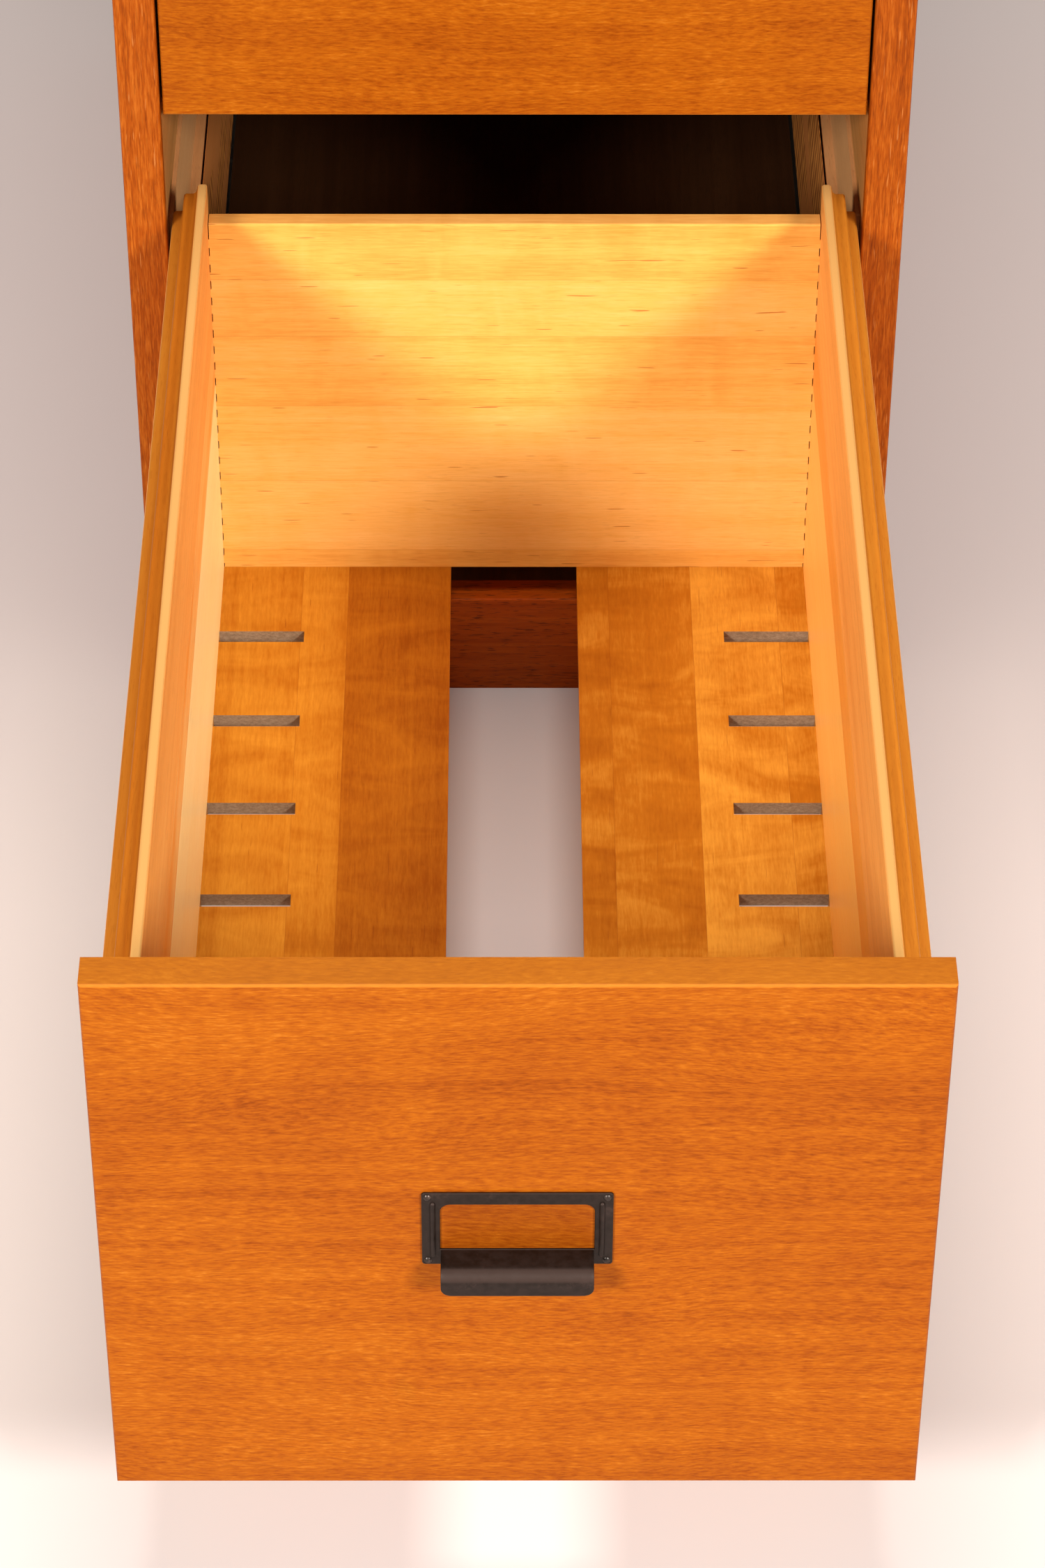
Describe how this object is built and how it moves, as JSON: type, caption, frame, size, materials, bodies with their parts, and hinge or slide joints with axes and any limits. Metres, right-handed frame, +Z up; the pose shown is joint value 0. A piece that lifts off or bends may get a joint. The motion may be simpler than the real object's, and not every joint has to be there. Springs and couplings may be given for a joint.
{
  "type": "filing cabinet",
  "caption": "Low oak-veneered filing cabinet with deep drawers on full-extension slides, moulded side rails, slotted split bottoms and label-frame pulls.",
  "frame": {"origin": "on the floor, at the centre of the front plinth rail's foot", "axes": "+Z up; +Y from the cabinet's front to its back; +X to the right as seen from the front"},
  "size_m": [0.425, 1.4155, 0.75],
  "materials": {
    "front_veneer": "oak veneer, orange-brown stain, satin lacquer",
    "case_veneer": "oak veneer, orange-brown stain, satin lacquer outside, pale wood inside",
    "edge_oak": "solid oak lipping, stained and lacquered",
    "plinth_oak": "dark stained oak",
    "box_wood": "glued strips of pale hardwood, amber lacquer",
    "bottom_wood": "glued strips of pale hardwood, amber lacquer",
    "guide_wood": "bare hardwood",
    "inner_wood": "thin brown lacquer",
    "back_ply": "plywood, oak faced",
    "dowel_wood": "bare hardwood",
    "slide_steel": "bronzed, oiled",
    "screw_steel": "dull zinc",
    "pull_metal": "black-bronzed sheet metal, satin",
    "pin_metal": "worn black bronze"
  },
  "bodies": {
    "carcass": {"side_panel_left": "case_veneer", "side_panel_right": "case_veneer", "edge_strip_left": "edge_oak", "edge_strip_right": "edge_oak", "top_panel": "case_veneer", "bottom_panel": "inner_wood", "plinth_front": "plinth_oak", "plinth_back": "inner_wood", "back_panel": "back_ply", "carcass_slide_screws": "screw_steel", "lower_guide_left": "guide_wood", "lower_slide_outer_left": "slide_steel", "lower_guide_right": "guide_wood", "lower_slide_outer_right": "slide_steel", "upper_guide_left": "guide_wood", "upper_slide_outer_left": "slide_steel", "upper_guide_right": "guide_wood", "upper_slide_outer_right": "slide_steel"},
    "lower_drawer": {"lower_front": "front_veneer", "lower_rear_panel": "box_wood", "lower_pull": "pull_metal", "lower_pull_pins": "pin_metal", "lower_front_dowels": "dowel_wood", "lower_slide_screws": "screw_steel", "lower_side_left": "box_wood", "lower_rail_left": "box_wood", "lower_bottom_left": "bottom_wood", "lower_slide_inner_left": "slide_steel", "lower_side_right": "box_wood", "lower_rail_right": "box_wood", "lower_bottom_right": "bottom_wood", "lower_slide_inner_right": "slide_steel"},
    "lower_runner_left": {"lower_slide_middle_left": "slide_steel"},
    "lower_runner_right": {"lower_slide_middle_right": "slide_steel"},
    "upper_drawer": {"upper_front": "front_veneer", "upper_rear_panel": "box_wood", "upper_pull": "pull_metal", "upper_pull_pins": "pin_metal", "upper_front_dowels": "dowel_wood", "upper_slide_screws": "screw_steel", "upper_side_left": "box_wood", "upper_rail_left": "box_wood", "upper_bottom_left": "bottom_wood", "upper_slide_inner_left": "slide_steel", "upper_side_right": "box_wood", "upper_rail_right": "box_wood", "upper_bottom_right": "bottom_wood", "upper_slide_inner_right": "slide_steel"},
    "upper_runner_left": {"upper_slide_middle_left": "slide_steel"},
    "upper_runner_right": {"upper_slide_middle_right": "slide_steel"}
  },
  "joints": [
    {"name": "lower_drawer_slide", "type": "slide", "parent": "carcass", "child": "lower_drawer", "axis": [0, 1, 0], "range_m": [0, 0.678]},
    {"name": "lower_runner_slide_left", "type": "slide", "parent": "carcass", "child": "lower_runner_left", "axis": [0, 1, 0], "range_m": [0, 0.339]},
    {"name": "lower_runner_slide_right", "type": "slide", "parent": "carcass", "child": "lower_runner_right", "axis": [0, 1, 0], "range_m": [0, 0.339]},
    {"name": "upper_drawer_slide", "type": "slide", "parent": "carcass", "child": "upper_drawer", "axis": [0, -1, 0], "range_m": [0, 0.678]},
    {"name": "upper_runner_slide_left", "type": "slide", "parent": "carcass", "child": "upper_runner_left", "axis": [0, -1, 0], "range_m": [0, 0.339]},
    {"name": "upper_runner_slide_right", "type": "slide", "parent": "carcass", "child": "upper_runner_right", "axis": [0, -1, 0], "range_m": [0, 0.339]}
  ],
  "couplings": [
    {"joint": "lower_runner_slide_left", "follows": "lower_drawer_slide", "ratio": 0.5},
    {"joint": "lower_runner_slide_right", "follows": "lower_drawer_slide", "ratio": 0.5},
    {"joint": "upper_runner_slide_left", "follows": "upper_drawer_slide", "ratio": 0.5},
    {"joint": "upper_runner_slide_right", "follows": "upper_drawer_slide", "ratio": 0.5}
  ]
}
